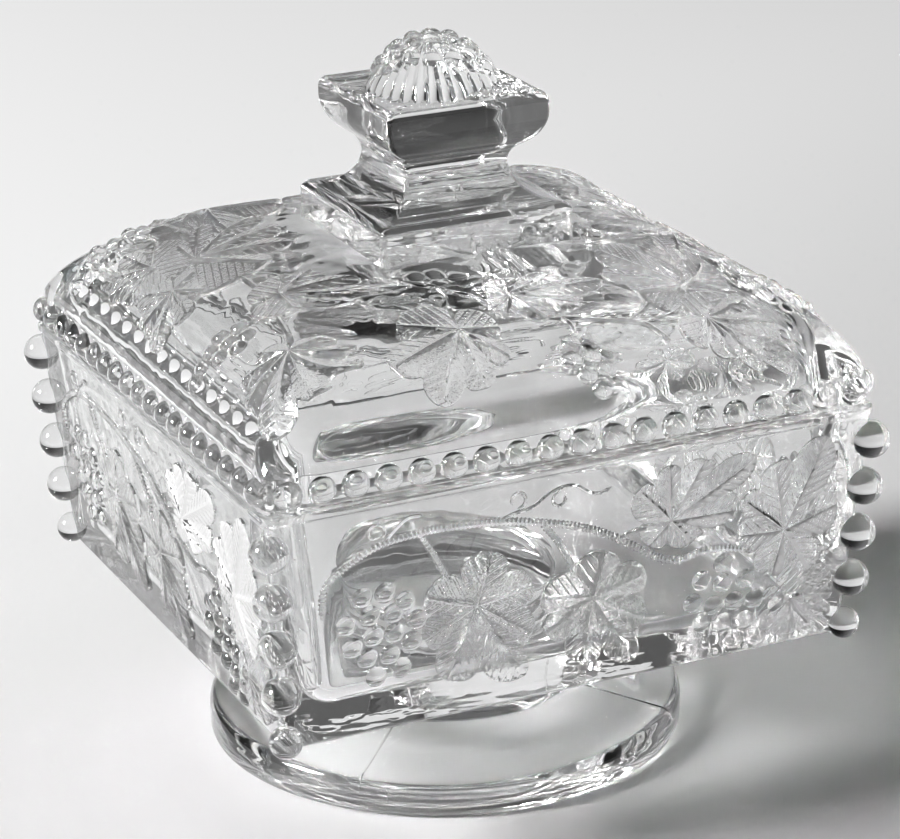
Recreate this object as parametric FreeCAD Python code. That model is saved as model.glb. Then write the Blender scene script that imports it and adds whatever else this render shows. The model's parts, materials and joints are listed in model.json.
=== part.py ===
"""Covered honey dish of clear pressed glass: a square footed dish and its loose domed cover.

Units are millimetres. +Z is up, the origin is the centre of the foot on the table, and the four
panels of the dish face -Y, +X, +Y and -X.
"""
import FreeCAD, Part
import math
import os

Vector = FreeCAD.Vector

# Dish walls
rim_width = 111.0
base_width = 104.2
underside_height = 26.0
wall_height = 40.6
wall_corner_round = 2.0
mouth_wall = 3.6
floor_wall = 5.0
floor_thickness = 4.2
cavity_corner_round = 7.0
cavity_floor_round = 6.5
rim_band_height = 1.7
rim_band_proud = 0.4

# Beads on the dish corners
corner_bead_count = 5
corner_bead_diameter = 6.6
lowest_bead_diameter = 5.6
top_bead_drop = 4.6
lowest_bead_rise = 1.7

# Foot
foot_diameter = 85.8
foot_edge_height = 4.6
foot_edge_round = 2.2
foot_toe_round = 1.2
foot_crown_diameter = 50.0
foot_crown_height = 9.4
stem_waist_diameter = 38.0
stem_top_diameter = 40.0
foot_hollow_diameter = 73.0
foot_hollow_height = 7.0

# Cover
cover_set_back = 0.3
cover_skirt_height = 5.5
cover_dome_height = 19.7
cover_dome_side_power = 3.0
cover_dome_rise_power = 1.6
cover_corner_round = 3.7
cover_top_corner_round = 14.7
cover_top_thickness = 6.2
cover_hollow_side_power = 5.0
cover_hollow_rise_power = 2.6
cover_hollow_top_corner_round = 8.0
cover_dome_flat = 20.0
cover_dome_sections = 9
lip_drop = 2.5
lip_thickness = 2.4
lip_clearance = 0.8

# Beads round the cover
cover_beads_per_side = 19
cover_bead_diameter = 4.9
cover_bead_rise = 2.95
cover_bead_sink = 0.3

# Knob
knob_base_width = 36.0
knob_base_height = 6.0
knob_base_step = 1.1
knob_hollow_height = 5.7
knob_neck_width = 19.4
knob_neck_height = 2.3
knob_flare_height = 6.4
knob_flare_width = 28.2
knob_cap_height = 4.4
knob_cap_width = 30.4
knob_top_inset = 0.7
crown_diameter = 21.5
crown_height = 7.6
berry_diameter = 3.0
berry_proud = 2.2
berry_pitch = 2.9
berry_rings = 5
berry_ring_drop = 0.25
berry_first_turn = -40.0
berry_last_turn = 158.0

# Leaves and grapes in relief
panel_leaf_proud = 0.6
cover_leaf_proud = 0.8
crown_leaf_proud = 0.9
shallowest_notch = 0.18
notch_per_radian = 0.165
deepest_notch = 0.8
lobe_bulge = 0.12
leaf_root = 3.0
leaf_root_step = 0.2
leaf_clearance = 4.0
panel_grape_diameter = 4.3
cover_grape_diameter = 3.9
grape_proud = 1.15

# Vine on a panel: along the panel, and up from the table. A leaf is the place where its ribs meet and its tips.
panel_leaves = [
    [(-19, 46), (-16, 55), (-8.5, 47.5), (-8.5, 38.5), (-9.5, 31), (-24, 33), (-28, 41.5), (-28, 49)],
    [(2.5, 43), (4.5, 51), (12.5, 45.5), (12.5, 37), (11, 29.5), (1, 31), (-6, 38), (-7, 44.5)],
    [(16.5, 54.5), (32.5, 63), (22.5, 64.3), (16, 64.3), (10.5, 61), (12.5, 50.5), (21, 49.5), (29, 54)],
    [(38.5, 48.5), (46, 64.3), (36, 61), (30.5, 55.5), (30, 49), (36.5, 40), (44, 39), (49, 51.5)],
    [(40.5, 35.5), (49.3, 34.5), (49, 30.5), (45.5, 28), (41, 28)],
]
panel_grapes = [
    (-39, 51), (-35, 51.2), (-31.4, 49), (-29.3, 45.2), (-33.5, 47.2), (-37.6, 47.5), (-41.8, 46.5),
    (-37, 43.7), (-33.2, 43.6), (-30.2, 41.5), (-40.6, 42.3), (-38, 40), (-34, 39.8), (-32, 37), (-36.4, 36.3),
    (27.5, 44), (23.5, 41.5), (27.6, 40.2), (32, 40.2), (22, 37.5), (26, 36.3), (30, 36.4), (34, 36),
    (38, 34.3), (24, 33.5), (28.2, 32.6), (32.3, 32.2), (36.3, 31.2), (30.5, 29), (34.8, 28.8),
]

# Vine on the front and back of the cover: along the side, and up the dome from the skirt
cover_front_leaves = [
    [(-15, 21), (-8, 20), (-8.8, 13.8), (-15, 9), (-23.5, 7.3), (-29, 15.5), (-24.5, 24.5)],
    [(-3, 27.5), (14.5, 27.5), (7, 32.2), (-1.5, 32.8), (-5.5, 23), (1, 20.3), (8, 22.4)],
    [(27.5, 14.5), (40.5, 2.2), (39.5, 11), (36, 17), (31, 20), (24, 10), (29, 6.8), (34, 3.8)],
    [(27, 22.5), (18, 36), (15.5, 29.5), (19, 23), (31.5, 32), (36, 25.5)],
]
cover_front_grapes = [
    (2.6, 14.6), (6, 14.4), (8.6, 12.2), (1.6, 11.4), (4.9, 11.3), (7, 8.9), (3.2, 8.3), (5, 5.5),
]

# Vine on the left and right of the cover, in the same way
cover_side_leaves = [
    [(-7.5, 15.5), (2.5, 5.8), (-6.5, 7), (-15, 11), (2.5, 13.5), (-1, 19), (-9, 20.5)],
    [(36, 18.5), (51, 6), (47, 13.2), (44.5, 16.5), (41, 20), (36, 22.5), (41, 8), (34, 10.5), (31, 16)],
    [(15.5, 26.5), (27, 35), (19, 37), (11, 34.5), (8.5, 30.5), (23.5, 26), (27.5, 30.5)],
    [(-13, 22.5), (-13, 38.5), (-22, 35.5), (-26, 28.5), (-22, 22.5), (1, 30.5), (-4, 37)],
    [(-20, 16.5), (-30, 8.5), (-31.5, 15), (-28, 20.5), (-17.5, 8.5), (-24, 7.5)],
]
cover_side_grapes = [
    (17.6, 17.4), (21.6, 17.2), (16, 14.2), (19.6, 14.4), (23, 14.8), (17.4, 11.2), (21, 11.4), (18.8, 8.4),
    (20, 5.8), (-38.8, 5.6), (-36.2, 8.6), (-40, 9), (-37.8, 11.8), (-41.5, 12.4), (-34.4, 13.4),
    (-39.4, 15.2), (-36, 16.8), (-41.8, 16.6), (-38.4, 19),
]

# Leaf on the crown: where its ribs meet, then the turn and the reach of each tip from the top of the crown
crown_leaf_ribs_meet = (-1.6, -1.8)
crown_leaf_tips = [
    (164, 14.5), (187, 14), (209, 15), (231, 15.5), (253, 14.5), (275, 14), (298, 14.5), (322, 14.5),
]

# Room for rounding when edges are picked by height
fuzz = 0.01

# Fine steps: along the dome when a distance is measured up it, and to either side of a spot to find its tilt
dome_steps = 400
nudge = 0.05

# Places that follow from the sizes above
wall_top = underside_height + wall_height
seat_height = wall_top + rim_band_height
floor_height = underside_height + floor_thickness
lip_bottom = seat_height - lip_drop
mouth_half = rim_width / 2 - mouth_wall
cover_half = rim_width / 2 - cover_set_back
dome_start = seat_height + cover_skirt_height
dome_top = dome_start + cover_dome_height
dome_powers = (cover_dome_side_power, cover_dome_rise_power)
hollow_powers = (cover_hollow_side_power, cover_hollow_rise_power)


def rounded_square(half, corner_round, height):
    """Closed outline of a square with round corners, centred on the Z axis."""
    straight = half - corner_round
    middle = straight + corner_round * math.sqrt(0.5)
    edges = []
    for quarter in range(4):
        turn = FreeCAD.Rotation(Vector(0, 0, 1), 90 * quarter)
        side_start = turn.multVec(Vector(half, -straight, height))
        side_end = turn.multVec(Vector(half, straight, height))
        corner_middle = turn.multVec(Vector(middle, middle, height))
        corner_end = turn.multVec(Vector(straight, half, height))
        edges.append(Part.LineSegment(side_start, side_end).toShape())
        edges.append(Part.Arc(side_end, corner_middle, corner_end).toShape())
    return Part.Wire(edges)


def square_block(half, corner_round, bottom, top):
    """Upright block with round corners."""
    face = Part.Face(rounded_square(half, corner_round, bottom))
    return face.extrude(Vector(0, 0, top - bottom))


def tapered_block(bottom_half, bottom_round, bottom, top_half, top_round, top):
    """Block with round corners whose four sides lean evenly."""
    outlines = [
        rounded_square(bottom_half, bottom_round, bottom),
        rounded_square(top_half, top_round, top),
    ]
    return Part.makeLoft(outlines, True, True)


def bead(place, diameter):
    """One round bead."""
    return Part.makeSphere(diameter / 2, place)


def quarter_turns(shapes):
    """The given shapes on all four sides."""
    turned = []
    for quarter in range(4):
        for shape in shapes:
            copy = shape.copy()
            copy.rotate(Vector(0, 0, 0), Vector(0, 0, 1), 90 * quarter)
            turned.append(copy)
    return turned


def tilt(spot, along, up):
    """Direction straight out of a face at a place on it, from a function that gives the face's points."""
    across = spot(along + nudge, up) - spot(along - nudge, up)
    upward = spot(along, up + nudge) - spot(along, up - nudge)
    return across.cross(upward).normalize()


def leaf_outline(leaf):
    """Notches and tips in turn round a leaf, as places on its face, starting from a notch."""
    root, tips = leaf[0], leaf[1:]
    rays = []
    for tip in tips:
        rays.append((math.atan2(tip[1] - root[1], tip[0] - root[0]), math.dist(root, tip)))
    rays.sort()
    places = []
    for number, (turn, reach) in enumerate(rays):
        turn_before, reach_before = rays[number - 1]
        gap = (turn - turn_before) % (2 * math.pi)
        depth = min(deepest_notch, shallowest_notch + notch_per_radian * gap)
        notch_turn = turn - gap / 2
        notch_reach = (reach + reach_before) / 2 * (1 - depth)
        for ray_turn, ray_reach in ((notch_turn, notch_reach), (turn, reach)):
            places.append((root[0] + ray_reach * math.cos(ray_turn), root[1] + ray_reach * math.sin(ray_turn)))
    return places


def lobe_side(root, notch, tip):
    """Arc from a leaf's notch to the tip of a lobe beside it, bulging away from the lobe's rib."""
    rib = (tip - root).normalize()
    aside = (notch - root) - rib * (notch - root).dot(rib)
    middle = (notch + tip) / 2 + aside.normalize() * (lobe_bulge * notch.distanceToPoint(tip))
    return Part.Arc(notch, middle, tip).toShape()


def leaf_block(spot, leaf, root_depth):
    """Block that stands through a face, with the outline of a leaf on the face's tilt where its ribs meet."""
    middle = spot(*leaf[0])
    outward = tilt(spot, *leaf[0])
    points = []
    for place in leaf_outline(leaf):
        point = spot(*place)
        points.append(point - outward * (point - middle).dot(outward))
    sides = []
    for notch in range(0, len(points), 2):
        tip = points[notch + 1]
        sides.append(lobe_side(middle, points[notch], tip))
        sides.append(lobe_side(middle, points[(notch + 2) % len(points)], tip))
    face = Part.Face(Part.Wire(sides))
    face.translate(outward * -root_depth)
    return face.extrude(outward * (root_depth + leaf_clearance))


def leaves_in_relief(spot, leaves, grown_body):
    """Leaves on a face, raised to the skin of the slightly larger body that is given."""
    blocks = []
    for number, leaf in enumerate(leaves):
        blocks.append(leaf_block(spot, leaf, leaf_root + leaf_root_step * number))
    joined = blocks[0].fuse(blocks[1:]) if len(blocks) > 1 else blocks[0]
    return joined.common(grown_body)


def grapes_in_relief(spot, grapes, diameter):
    """Round grapes that stand partly out of a face."""
    lift = grape_proud - diameter / 2
    return [bead(spot(*grape) + tilt(spot, *grape) * lift, diameter) for grape in grapes]


def wall_half(height):
    """Half the outside width of the dish wall at a height."""
    share = (height - underside_height) / wall_height
    return (base_width + (rim_width - base_width) * share) / 2


def cavity_half(height):
    """Half the inside width of the dish at a height."""
    floor_half = wall_half(floor_height) - floor_wall
    share = (height - floor_height) / (seat_height - floor_height)
    return floor_half + (mouth_half - floor_half) * share


def make_cavity():
    """The hollow of the dish, with round corners and a round edge at its floor."""
    hollow = tapered_block(
        cavity_half(floor_height), cavity_corner_round, floor_height,
        mouth_half, cavity_corner_round, seat_height,
    )
    floor_edges = [edge for edge in hollow.Edges if edge.BoundBox.ZMax < floor_height + fuzz]
    return hollow.makeFillet(cavity_floor_round, floor_edges)


def make_corner_beads():
    """Columns of beads centred on the four upright edges of the dish."""
    top = wall_top - top_bead_drop
    lowest = underside_height + lowest_bead_rise
    pitch = (top - lowest) / (corner_bead_count - 1)
    column = []
    for place in range(corner_bead_count):
        height = lowest + place * pitch
        half = wall_half(height)
        diameter = corner_bead_diameter if place else lowest_bead_diameter
        column.append(bead(Vector(half, half, height), diameter))
    return quarter_turns(column)


def make_foot():
    """Round foot with a spool stem, hollow underneath."""
    foot_radius = foot_diameter / 2
    crown_radius = foot_crown_diameter / 2
    stem_top = Vector(stem_top_diameter / 2, 0, underside_height)
    crown = Vector(crown_radius, 0, foot_crown_height)
    waist = Vector(stem_waist_diameter / 2, 0, (underside_height + foot_crown_height) / 2)
    shoulder = Vector(foot_radius - foot_edge_round, 0, foot_edge_height + foot_edge_round)
    edge_top = Vector(foot_radius, 0, foot_edge_height)
    toe_top = Vector(foot_radius, 0, foot_toe_round)
    toe = Vector(foot_radius - foot_toe_round, 0, 0)
    hollow_edge = Vector(foot_hollow_diameter / 2, 0, 0)
    hollow_top = Vector(0, 0, foot_hollow_height)
    hollow_radius = (hollow_edge.x ** 2 + foot_hollow_height ** 2) / (2 * foot_hollow_height)
    half_reach = hollow_edge.x / 2
    half_drop = hollow_radius - math.sqrt(hollow_radius ** 2 - half_reach ** 2)
    hollow_middle = Vector(half_reach, 0, foot_hollow_height - half_drop)
    diagonal = math.sqrt(0.5)
    edge_middle = shoulder + Vector(foot_edge_round * diagonal, 0, -foot_edge_round * (1 - diagonal))
    toe_middle = toe + Vector(foot_toe_round * diagonal, 0, foot_toe_round * (1 - diagonal))
    axis_top = Vector(0, 0, underside_height)
    edges = [
        Part.LineSegment(axis_top, stem_top),
        Part.Arc(stem_top, waist, crown),
        Part.LineSegment(crown, shoulder),
        Part.Arc(shoulder, edge_middle, edge_top),
        Part.LineSegment(edge_top, toe_top),
        Part.Arc(toe_top, toe_middle, toe),
        Part.LineSegment(toe, hollow_edge),
        Part.Arc(hollow_edge, hollow_middle, hollow_top),
        Part.LineSegment(hollow_top, axis_top),
    ]
    section = Part.Face(Part.Wire([edge.toShape() for edge in edges]))
    return section.revolve(Vector(0, 0, 0), Vector(0, 0, 1), 360)


def panel_spot(along, up):
    """Point on the front panel of the dish."""
    return Vector(along, -wall_half(up), up)


def make_walls(proud):
    """The leaning walls of the dish as a full block, grown outward by an amount."""
    return tapered_block(
        base_width / 2 + proud, wall_corner_round + proud, underside_height,
        rim_width / 2 + proud, wall_corner_round + proud, wall_top,
    )


def make_panel_vine():
    """The leaves and grapes of all four panels."""
    leaves = leaves_in_relief(panel_spot, panel_leaves, make_walls(panel_leaf_proud))
    return quarter_turns([leaves] + grapes_in_relief(panel_spot, panel_grapes, panel_grape_diameter))


def make_footed_dish():
    """The dish, its foot, its corner beads and its vine, pressed in one."""
    band_half = rim_width / 2 + rim_band_proud
    band = square_block(band_half, wall_corner_round + rim_band_proud, wall_top, seat_height)
    body = make_walls(0).fuse([band, make_foot()] + make_corner_beads() + make_panel_vine())
    return body.cut(make_cavity()).removeSplitter()


def dome_section(base_half, rise, base_round, top_round, powers, share_of_curve):
    """Half width, corner round and height of a dome at a share of its side curve, which ends at a small flat."""
    side_power, rise_power = powers
    last_angle = math.acos((cover_dome_flat / 2 / base_half) ** (side_power / 2))
    angle = last_angle * share_of_curve
    share = math.sin(angle) ** (2 / rise_power)
    half = base_half * math.cos(angle) ** (2 / side_power)
    corner_round = min(base_round + (top_round - base_round) * share, half - 1)
    return half, corner_round, dome_start + rise * share


def make_dome(base_half, rise, base_round, top_round, powers):
    """Pillow dome on a square base: full sides that turn over into a flatter top."""
    outlines = []
    for section in range(cover_dome_sections):
        share_of_curve = section / (cover_dome_sections - 1)
        outline = dome_section(base_half, rise, base_round, top_round, powers, share_of_curve)
        outlines.append(rounded_square(*outline))
    return Part.makeLoft(outlines, True, False)


def make_outer_dome(proud):
    """The outside of the cover's dome, grown outward by an amount."""
    return make_dome(
        cover_half + proud, cover_dome_height + proud, cover_corner_round + proud,
        cover_top_corner_round + proud, dome_powers,
    )


def dome_spot(along, up):
    """Point on the front of the dome, at a distance up the middle of its side from the skirt."""
    half, corner_round, height = cover_half, cover_corner_round, dome_start
    climbed = 0
    for step in range(1, dome_steps + 1):
        section = dome_section(
            cover_half, cover_dome_height, cover_corner_round, cover_top_corner_round, dome_powers,
            step / dome_steps,
        )
        stride = math.hypot(section[0] - half, section[2] - height)
        share = min(1, (up - climbed) / stride)
        half += (section[0] - half) * share
        corner_round += (section[1] - corner_round) * share
        height += (section[2] - height) * share
        climbed += stride
        if climbed >= up:
            break
    straight = half - corner_round
    over = min(max(abs(along) - straight, 0), corner_round)
    return Vector(along, -straight - math.sqrt(corner_round ** 2 - over ** 2), height)


def make_cover_vine():
    """The leaves and grapes of the four sides of the cover."""
    grown_dome = make_outer_dome(cover_leaf_proud)
    vine = []
    for leaves, grapes, turns in (
        (cover_front_leaves, cover_front_grapes, (0, 180)),
        (cover_side_leaves, cover_side_grapes, (90, 270)),
    ):
        side = [leaves_in_relief(dome_spot, leaves, grown_dome)]
        side += grapes_in_relief(dome_spot, grapes, cover_grape_diameter)
        for turn in turns:
            for shape in side:
                vine.append(shape.rotated(Vector(0, 0, 0), Vector(0, 0, 1), turn))
    return vine


def make_cover_beads():
    """Rows of beads along the four sides of the cover's skirt."""
    half = cover_half - cover_bead_sink
    height = seat_height + cover_bead_rise
    first = half - cover_bead_diameter / math.sqrt(2)
    pitch = 2 * first / (cover_beads_per_side - 1)
    row = []
    for place in range(cover_beads_per_side):
        row.append(bead(Vector(half, place * pitch - first, height), cover_bead_diameter))
    return quarter_turns(row)


def make_knob():
    """Square knob: a stepped base, a hollowed neck and a flared cap, mitred on all four corners."""
    base_half = knob_base_width / 2
    neck_half = knob_neck_width / 2
    flare_half = knob_flare_width / 2
    cap_half = knob_cap_width / 2
    step_half = base_half - knob_base_step
    root = dome_top - cover_top_thickness / 2
    base_top = dome_top + knob_base_height
    neck_bottom = base_top + knob_hollow_height
    neck_top = neck_bottom + knob_neck_height
    cap_bottom = neck_top + knob_flare_height
    cap_top = cap_bottom + knob_cap_height
    hollow_middle = Vector(
        neck_half + (step_half - neck_half) * (1 - math.sqrt(0.5)), 0,
        base_top + knob_hollow_height * (1 - math.sqrt(0.5)),
    )
    cap_middle = Vector(cap_half, 0, (cap_bottom + cap_top) / 2)
    half_outline = [
        Part.LineSegment(Vector(0, 0, root), Vector(base_half, 0, root)),
        Part.LineSegment(Vector(base_half, 0, root), Vector(base_half, 0, base_top - knob_base_step)),
        Part.LineSegment(
            Vector(base_half, 0, base_top - knob_base_step), Vector(step_half, 0, base_top)
        ),
        Part.Arc(Vector(step_half, 0, base_top), hollow_middle, Vector(neck_half, 0, neck_bottom)),
        Part.LineSegment(Vector(neck_half, 0, neck_bottom), Vector(neck_half, 0, neck_top)),
        Part.LineSegment(Vector(neck_half, 0, neck_top), Vector(flare_half, 0, cap_bottom)),
        Part.Arc(
            Vector(flare_half, 0, cap_bottom), cap_middle, Vector(cap_half - knob_top_inset, 0, cap_top)
        ),
        Part.LineSegment(Vector(cap_half - knob_top_inset, 0, cap_top), Vector(0, 0, cap_top)),
        Part.LineSegment(Vector(0, 0, cap_top), Vector(0, 0, root)),
    ]
    half_face = Part.Face(Part.Wire([edge.toShape() for edge in half_outline]))
    half_face.translate(Vector(0, -base_half, 0))
    half_bar = half_face.extrude(Vector(0, knob_base_width, 0))
    mirrored = half_bar.mirror(Vector(0, 0, 0), Vector(1, 0, 0))
    bar = half_bar.fuse(mirrored).removeSplitter()
    cross_bar = bar.copy()
    cross_bar.rotate(Vector(0, 0, 0), Vector(0, 0, 1), 90)
    moulding = bar.common(cross_bar)
    return moulding.fuse(make_crown(cap_top))


def make_crown(base):
    """Low round crown on the knob, with a leaf toward the front and a heap of berries behind it."""
    crown_radius = crown_diameter / 2
    ball_radius = (crown_radius ** 2 + crown_height ** 2) / (2 * crown_height)
    ball_centre = Vector(0, 0, base + crown_height - ball_radius)
    slab = Part.makeBox(
        crown_diameter, crown_diameter, crown_height + crown_leaf_proud,
        Vector(-crown_radius, -crown_radius, base),
    )

    def crown_spot(along, up):
        """Point on the crown at distances over it from its top."""
        lean = math.hypot(along, up) / ball_radius
        turn = math.atan2(up, along)
        return ball_centre + crown_direction(lean, turn) * ball_radius

    tips = []
    for turn, reach in crown_leaf_tips:
        tips.append((reach * math.cos(math.radians(turn)), reach * math.sin(math.radians(turn))))
    grown_ball = Part.makeSphere(ball_radius + crown_leaf_proud, ball_centre).common(slab)
    leaf = leaves_in_relief(crown_spot, [[crown_leaf_ribs_meet] + tips], grown_ball)
    crown = Part.makeSphere(ball_radius, ball_centre).common(slab)
    return crown.fuse([leaf] + make_berries(ball_centre, ball_radius))


def crown_direction(lean, turn):
    """Direction out of the crown, leaning from upright by one angle and turned round by the other."""
    return Vector(math.sin(lean) * math.cos(turn), math.sin(lean) * math.sin(turn), math.cos(lean))


def make_berries(ball_centre, ball_radius):
    """Berries heaped on the top and the back of the crown, in rings round its top."""
    first, last = math.radians(berry_first_turn), math.radians(berry_last_turn)
    reach = ball_radius + berry_proud - berry_diameter / 2
    berries = [bead(ball_centre + Vector(0, 0, reach), berry_diameter)]
    for ring in range(1, berry_rings):
        lean = ring * berry_pitch / ball_radius
        count = round((last - first) * ball_radius * math.sin(lean) / berry_pitch)
        for place in range(count + 1):
            away = crown_direction(lean, first + (last - first) * place / count)
            berries.append(bead(ball_centre + away * (reach - ring * berry_ring_drop), berry_diameter))
    return berries


def make_cover():
    """The domed cover, its locating lip, rim beads, vine and knob, pressed in one."""
    lip_half = cavity_half(lip_bottom) - lip_clearance
    lip_round = cavity_corner_round - lip_clearance
    hollow_half = lip_half - lip_thickness
    hollow_round = lip_round - lip_thickness
    skirt = square_block(cover_half, cover_corner_round, seat_height, dome_start)
    lip = square_block(lip_half, lip_round, lip_bottom, seat_height)
    hollow = square_block(hollow_half, hollow_round, lip_bottom, dome_start)
    hollow_dome = make_dome(
        hollow_half, cover_dome_height - cover_top_thickness, hollow_round,
        cover_hollow_top_corner_round, hollow_powers,
    )
    shell = skirt.fuse([lip, make_outer_dome(0)] + make_cover_vine()).cut([hollow, hollow_dome])
    return shell.fuse(make_cover_beads() + [make_knob()]).removeSplitter()


def main():
    """Write one file for each piece of glass."""
    os.makedirs("parts", exist_ok=True)
    pieces = {"footed_dish": make_footed_dish(), "cover": make_cover()}
    for name, shape in pieces.items():
        shape.exportStep("parts/" + name + ".step")
        box = shape.BoundBox
        print(
            name, "solids", len(shape.Solids), "valid", shape.isValid(),
            "volume", round(shape.Volume), "box",
            [round(value, 2) for value in (box.XMin, box.YMin, box.ZMin, box.XMax, box.YMax, box.ZMax)],
        )


main()
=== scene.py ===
"""Covered honey dish of clear pressed glass: a square footed dish and its loose domed cover.

Sizes and places in the classes are millimetres in the object's own frame: +Z up, the origin on the table
under the middle of the foot, and the panel that faces the camera most at -Y. Solids are modelled in
millimetres, pressed together into one closed skin for each piece of glass, and scaled to metres as they
become objects.
"""

import json
import logging
import math
from dataclasses import dataclass
from enum import Enum
from functools import cached_property
from typing import Callable, Protocol, Sequence

import bmesh
import bpy
from mathutils import Matrix, Vector

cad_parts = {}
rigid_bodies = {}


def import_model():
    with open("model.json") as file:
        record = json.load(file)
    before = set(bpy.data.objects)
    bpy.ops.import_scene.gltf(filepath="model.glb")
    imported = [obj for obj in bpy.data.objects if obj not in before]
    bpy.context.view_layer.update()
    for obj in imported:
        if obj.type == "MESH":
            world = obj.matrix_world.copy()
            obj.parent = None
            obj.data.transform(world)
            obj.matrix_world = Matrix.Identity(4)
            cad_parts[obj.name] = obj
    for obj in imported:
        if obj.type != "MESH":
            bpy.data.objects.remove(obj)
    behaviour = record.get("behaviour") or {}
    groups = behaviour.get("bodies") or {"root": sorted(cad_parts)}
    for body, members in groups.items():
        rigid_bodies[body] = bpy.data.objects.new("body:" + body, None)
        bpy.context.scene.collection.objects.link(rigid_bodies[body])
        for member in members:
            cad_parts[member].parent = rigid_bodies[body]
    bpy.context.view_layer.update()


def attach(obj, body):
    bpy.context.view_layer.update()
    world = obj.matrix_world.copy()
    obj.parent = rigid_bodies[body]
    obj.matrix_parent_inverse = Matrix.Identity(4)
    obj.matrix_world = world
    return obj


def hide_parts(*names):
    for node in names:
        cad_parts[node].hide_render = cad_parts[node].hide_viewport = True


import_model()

LOG = logging.getLogger("honey_dish")
MOULD_LINES = "mould_lines"
METRES_PER_MM = 0.001
SHARP_FROM = 38.0
WAVES_PER_METRE = 90.0
DOTS_PER_METRE = 2000.0
UP = Vector((0.0, 0.0, 1.0))

Pair = tuple[float, float]
Solid = bmesh.types.BMesh


class Skin(Enum):
    """Surface of a face of glass, which is also its material slot on the piece."""

    FIRE_POLISHED = 0
    STIPPLED = 1


class Side(Enum):
    """Sides of the square, as quarter turns from the front panel."""

    FRONT = 0
    RIGHT = 1
    BACK = 2
    LEFT = 3


ALL_SIDES = tuple(Side)


def smooth_step(share: float) -> float:
    """Ease a share from 0 to 1 with level ends."""
    return share * share * (3.0 - 2.0 * share)


def arc(start: Vector, middle: Vector, end: Vector, steps: int) -> list[Vector]:
    """Points on the circle arc through three points of the XZ plane.

    Args:
        start: First point of the arc.
        middle: Any point between the ends.
        end: Last point of the arc.
        steps: Number of equal steps from start to end.

    Returns:
        The points from start to end, both included.
    """
    to_middle = middle - start
    to_end = end - start
    cross = 2.0 * (to_middle.x * to_end.z - to_middle.z * to_end.x)
    middle_sq = to_middle.length_squared
    end_sq = to_end.length_squared
    centre = start + Vector((
        (to_end.z * middle_sq - to_middle.z * end_sq) / cross,
        0.0,
        (to_middle.x * end_sq - to_end.x * middle_sq) / cross,
    ))
    first = start - centre
    full_turn = 2.0 * math.pi
    from_angle = math.atan2(first.z, first.x)
    sweep = (math.atan2((end - centre).z, (end - centre).x) - from_angle) % full_turn
    passed = (math.atan2((middle - centre).z, (middle - centre).x) - from_angle) % full_turn
    if passed > sweep:
        sweep -= full_turn
    points = []
    for step in range(steps + 1):
        angle = from_angle + sweep * step / steps
        points.append(centre + Vector((math.cos(angle), 0.0, math.sin(angle))) * first.length)
    return points


def flow(points: Sequence[Pair], spacing: float) -> list[Vector]:
    """Evenly divided smooth line through given points on a surface.

    Args:
        points: Points that the line passes, as surface coordinates.
        spacing: Greatest distance between two points of the result.

    Returns:
        Points of the line, with the surface coordinates in x and y.
    """
    knots = [Vector((u, v, 0.0)) for u, v in points]
    knots = [2.0 * knots[0] - knots[1], *knots, 2.0 * knots[-1] - knots[-2]]
    line = []
    for before, here, there, after in zip(knots, knots[1:], knots[2:], knots[3:]):
        steps = max(2, math.ceil((there - here).length / spacing))
        for step in range(steps):
            t = step / steps
            bend = (2.0 * before - 5.0 * here + 4.0 * there - after) * t * t
            twist = (3.0 * here - before - 3.0 * there + after) * t * t * t
            line.append(0.5 * (2.0 * here + (there - before) * t + bend + twist))
    line.append(knots[-2])
    return line


def distance_to_line(point: Vector, start: Vector, end: Vector) -> tuple[float, float]:
    """Distance from a flat point to a straight line between two points.

    Args:
        point: The point.
        start: Start of the line.
        end: End of the line.

    Returns:
        The distance, and the share of the line's length where it is nearest.
    """
    along = end - start
    share = (point - start).dot(along) / along.length_squared
    share = min(1.0, max(0.0, share))
    return (point - start - along * share).length, share


def skin_rings(rings: int, around: int, place: Callable[[int, int], Vector]) -> Solid:
    """Closed solid through rings of points, started from a circle and extruded ring by ring.

    Args:
        rings: Number of rings.
        around: Number of points in each ring.
        place: Gives the place of a point from the numbers of its ring and of its place round the ring.

    Returns:
        The solid, capped flat at both ends.
    """
    solid = bmesh.new()
    turn = solid.verts.layers.int.new("turn")
    ring = bmesh.ops.create_circle(solid, cap_ends=False, segments=around, radius=1.0)["verts"]
    for number, vert in enumerate(ring):
        vert[turn] = number
    edges = list(solid.edges)
    for index in range(rings):
        for vert in ring:
            vert.co = place(index, vert[turn])
        if index == rings - 1:
            break
        grown = bmesh.ops.extrude_edge_only(solid, edges=edges)["geom"]
        ring = [item for item in grown if isinstance(item, bmesh.types.BMVert)]
        outer = set(ring)
        edges = [
            item for item in grown
            if isinstance(item, bmesh.types.BMEdge) and outer.issuperset(item.verts)
        ]
    bmesh.ops.holes_fill(solid, edges=[edge for edge in solid.edges if edge.is_boundary], sides=0)
    solid.verts.layers.int.remove(turn)
    bmesh.ops.recalc_face_normals(solid, faces=solid.faces)
    return solid


def spin_round(outline: Sequence[Vector], steps: int) -> Solid:
    """Closed solid of revolution about the Z axis.

    Args:
        outline: Half outline in the XZ plane, from the axis to the axis.
        steps: Number of steps round the axis.

    Returns:
        The solid.
    """
    solid = bmesh.new()
    verts = [solid.verts.new(point) for point in outline]
    edges = [solid.edges.new(pair) for pair in zip(verts, verts[1:])]
    bmesh.ops.spin(
        solid, geom=verts + edges, cent=(0.0, 0.0, 0.0), axis=UP, angle=2.0 * math.pi, steps=steps,
        use_merge=True,
    )
    bmesh.ops.remove_doubles(solid, verts=solid.verts, dist=1e-4)
    bmesh.ops.recalc_face_normals(solid, faces=solid.faces)
    return solid


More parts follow.
